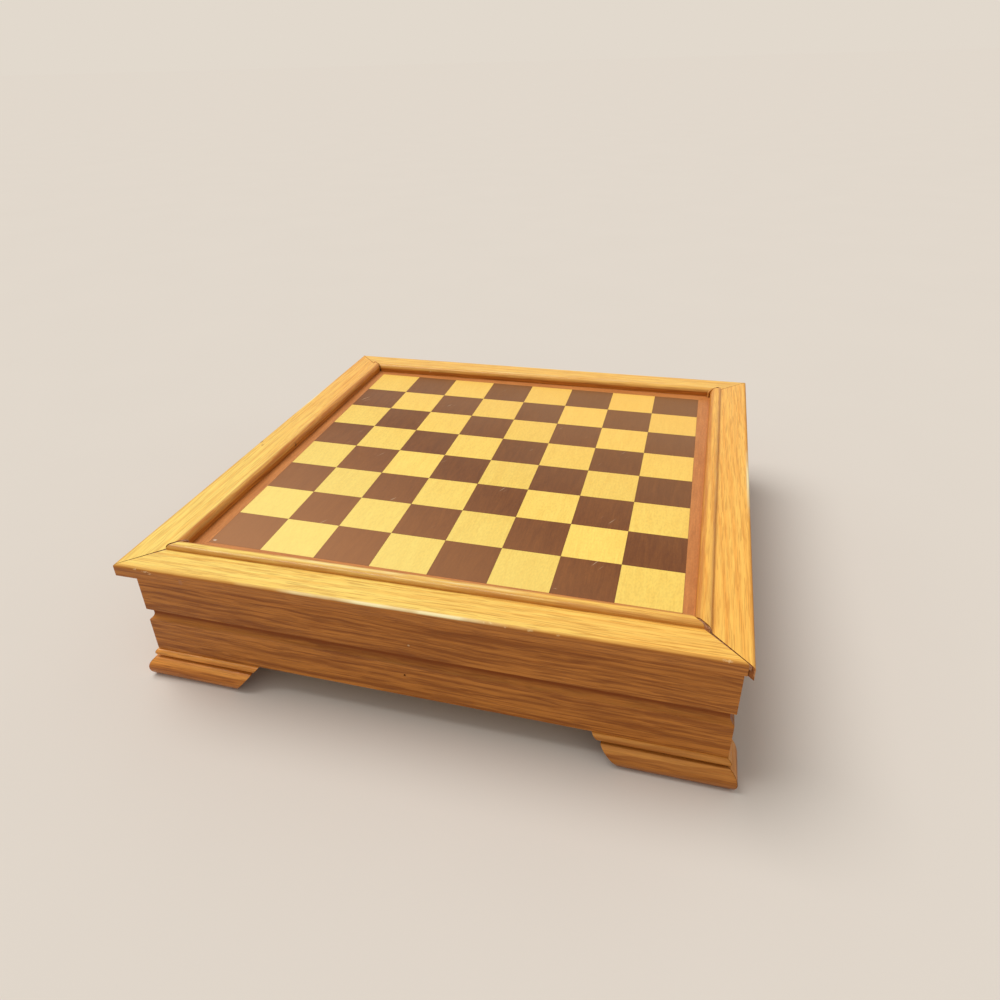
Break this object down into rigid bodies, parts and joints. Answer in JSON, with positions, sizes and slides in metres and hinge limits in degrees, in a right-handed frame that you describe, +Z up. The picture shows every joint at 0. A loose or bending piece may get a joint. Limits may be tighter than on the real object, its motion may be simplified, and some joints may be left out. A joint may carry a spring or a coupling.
{
  "type": "chess box with drawers",
  "caption": "Square wooden chess box: veneered chessboard in a mitred beaded frame, over a low case on moulded bracket feet, with a felt-lined drawer hidden in each side.",
  "frame": {"origin": "middle of the footprint, on the surface that the box stands on", "axes": "+Z up through the board; -Y is the front, the side of the player with the light pieces; the drawers open along -X and +X"},
  "size_m": [0.305, 0.305, 0.0765],
  "materials": {
    "oak_moulding": "honey oak, glossy lacquer",
    "oak_panel": "dark honey oak, satin lacquer",
    "maple_veneer": "glossy lacquer, yellowed",
    "walnut_veneer": "glossy lacquer",
    "border_veneer": "glossy lacquer",
    "pine": "bare, planed",
    "plywood": "bare, sanded",
    "felt": "matt felt",
    "pin_steel": "bare steel"
  },
  "bodies": {
    "case": {"front_panel": "oak_panel", "back_panel": "oak_panel", "case_floor": "plywood", "centre_partition": "pine", "stretcher_left": "pine", "stretcher_right": "pine", "cleat_front_left": "pine", "cleat_front_right": "pine", "cleat_back_left": "pine", "cleat_back_right": "pine", "rail_front": "oak_moulding", "rail_right": "oak_moulding", "rail_back": "oak_moulding", "rail_left": "oak_moulding", "frame_pins": "pin_steel", "case_pins": "pin_steel", "board_core": "plywood", "border_front": "border_veneer", "border_right": "border_veneer", "border_back": "border_veneer", "border_left": "border_veneer", "light_squares": "maple_veneer", "dark_squares": "walnut_veneer", "foot_front_left": "oak_moulding", "foot_front_right": "oak_moulding", "foot_back_left": "oak_moulding", "foot_back_right": "oak_moulding", "return_front_left": "oak_moulding", "return_front_right": "oak_moulding", "return_back_left": "oak_moulding", "return_back_right": "oak_moulding", "block_front_left": "pine", "block_front_right": "pine", "block_back_left": "pine", "block_back_right": "pine"},
    "left_drawer": {"left_drawer_front": "oak_panel", "left_drawer_side_front": "pine", "left_drawer_side_back": "pine", "left_drawer_back": "pine", "left_drawer_bottom": "plywood", "left_drawer_divider": "pine", "left_drawer_felt": "felt", "left_drawer_pins": "pin_steel"},
    "right_drawer": {"right_drawer_front": "oak_panel", "right_drawer_side_front": "pine", "right_drawer_side_back": "pine", "right_drawer_back": "pine", "right_drawer_bottom": "plywood", "right_drawer_divider": "pine", "right_drawer_felt": "felt", "right_drawer_pins": "pin_steel"}
  },
  "joints": [
    {"name": "left_drawer_slide", "type": "slide", "parent": "case", "child": "left_drawer", "axis": [-1, 0, 0], "range_m": [0, 0.105]},
    {"name": "right_drawer_slide", "type": "slide", "parent": "case", "child": "right_drawer", "axis": [1, 0, 0], "range_m": [0, 0.105]}
  ]
}
